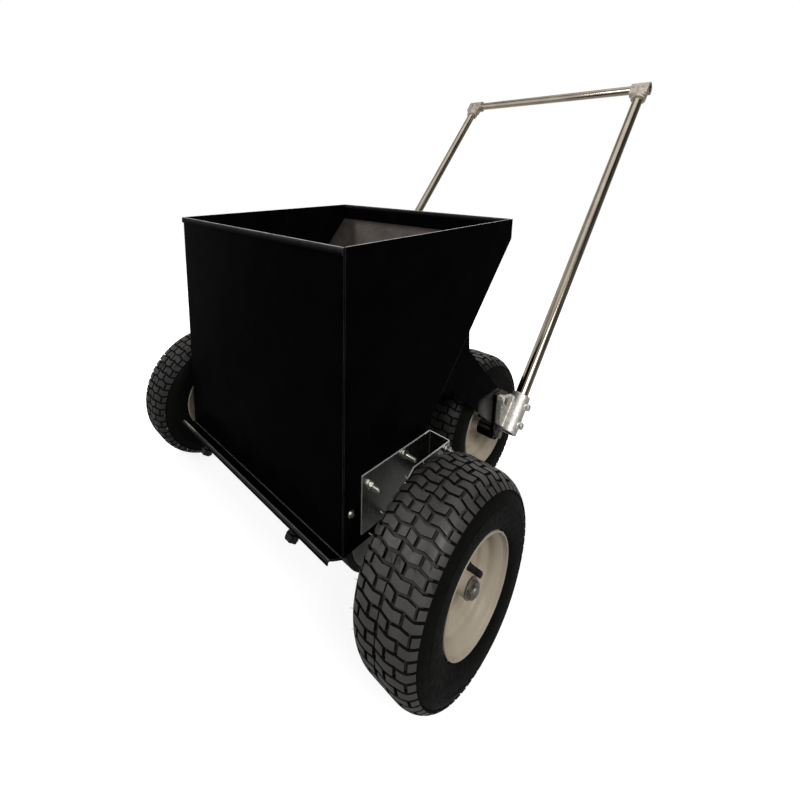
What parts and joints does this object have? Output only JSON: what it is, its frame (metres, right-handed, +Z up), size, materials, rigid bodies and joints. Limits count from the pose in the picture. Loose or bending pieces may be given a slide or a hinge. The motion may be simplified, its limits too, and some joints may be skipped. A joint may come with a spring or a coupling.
{
  "type": "lawn topdresser",
  "caption": "Walk-behind lawn topdresser: open hopper over a ground-driven metering drum, turf tyres, sliding gate and a tube push handle.",
  "frame": {"origin": "on the ground under the middle of the whole machine", "axes": "+Z up, -Y the way the machine is pushed (front panel), +Y toward the operator, +X the operator's left"},
  "size_m": [0.8684, 1.3406, 1.0229],
  "materials": {
    "black_coat": "satin",
    "zinc_sheet": "bright zinc",
    "zinc_bolt": "bright zinc",
    "grey_steel": "satin",
    "stainless": "brushed",
    "cast_alloy": "fine cast",
    "cream_paint": "satin",
    "tyre_rubber": "matt",
    "soft_rubber": "matt",
    "black_plastic": "fine grain"
  },
  "bodies": {
    "frame": {"hopper_front": "black_coat", "hopper_rear": "black_coat", "drum_wiper": "soft_rubber", "rear_axle": "grey_steel", "rear_spacer_centre": "grey_steel", "hopper_side_left": "black_coat", "hopper_side_right": "black_coat", "rear_arm_left": "black_coat", "rear_arm_right": "black_coat", "clamp_plate_left": "black_coat", "clamp_plate_right": "black_coat", "rear_spacer_left": "black_coat", "rear_spacer_right": "black_coat", "gate_stud_left": "zinc_bolt", "gate_stud_right": "zinc_bolt", "drive_bracket_left": "zinc_sheet", "drive_bracket_right": "zinc_sheet", "front_bearing_left": "grey_steel", "front_bearing_right": "grey_steel", "bracket_bolt_front_left": "zinc_bolt", "bracket_bolt_front_right": "zinc_bolt", "bracket_bolt_middle_left": "zinc_bolt", "bracket_bolt_middle_right": "zinc_bolt", "bracket_bolt_corner_left": "zinc_bolt", "bracket_bolt_corner_right": "zinc_bolt", "rear_axle_nut_left": "zinc_bolt", "rear_axle_nut_right": "zinc_bolt", "handle_clamp_left": "cast_alloy", "handle_clamp_right": "cast_alloy", "clamp_bolt_left": "zinc_bolt", "clamp_bolt_right": "zinc_bolt"},
    "gate": {"gate_plate": "zinc_sheet"},
    "knob_left": {"gate_knob_left": "black_plastic"},
    "knob_right": {"gate_knob_right": "black_plastic"},
    "drive": {"drum_roller": "soft_rubber", "drive_axle": "grey_steel", "drum_disc_left": "grey_steel", "drum_disc_right": "grey_steel", "front_rim_left": "cream_paint", "front_rim_right": "cream_paint", "front_tyre_left": "tyre_rubber", "front_tyre_right": "tyre_rubber", "front_valve_left": "soft_rubber", "front_valve_right": "soft_rubber", "front_axle_nut_left": "zinc_bolt", "front_axle_nut_right": "zinc_bolt"},
    "rear_wheel_left": {"rear_rim_left": "cream_paint", "rear_tyre_left": "tyre_rubber", "rear_valve_left": "soft_rubber"},
    "rear_wheel_right": {"rear_rim_right": "cream_paint", "rear_tyre_right": "tyre_rubber", "rear_valve_right": "soft_rubber"},
    "handle": {"handle_crossbar": "stainless", "handle_post_left": "stainless", "handle_post_right": "stainless", "handle_elbow_left": "cast_alloy", "handle_elbow_right": "cast_alloy"}
  },
  "joints": [
    {"name": "drive_spin", "type": "hinge", "parent": "frame", "child": "drive", "pos_m": [0, -0.50489, 0.1654], "axis": [1, 0, 0], "continuous": true},
    {"name": "rear_wheel_left_spin", "type": "hinge", "parent": "frame", "child": "rear_wheel_left", "pos_m": [0.1793, -0.11889, 0.1654], "axis": [1, 0, 0], "continuous": true},
    {"name": "rear_wheel_right_spin", "type": "hinge", "parent": "frame", "child": "rear_wheel_right", "pos_m": [-0.1793, -0.11889, 0.1654], "axis": [1, 0, 0], "continuous": true},
    {"name": "gate_slide", "type": "slide", "parent": "frame", "child": "gate", "axis": [0, -0.8686, 0.4955], "range_m": [0, 0.012]},
    {"name": "knob_left_turn", "type": "hinge", "parent": "frame", "child": "knob_left", "pos_m": [0.154, -0.62486, 0.15252], "axis": [0, -0.4955, -0.8686], "range_deg": [0, 360]},
    {"name": "knob_right_turn", "type": "hinge", "parent": "frame", "child": "knob_right", "pos_m": [-0.154, -0.62486, 0.15252], "axis": [0, -0.4955, -0.8686], "range_deg": [0, 360]},
    {"name": "handle_slide", "type": "slide", "parent": "frame", "child": "handle", "axis": [0, 0.6775, 0.7355], "range_m": [0, 0.04]}
  ]
}
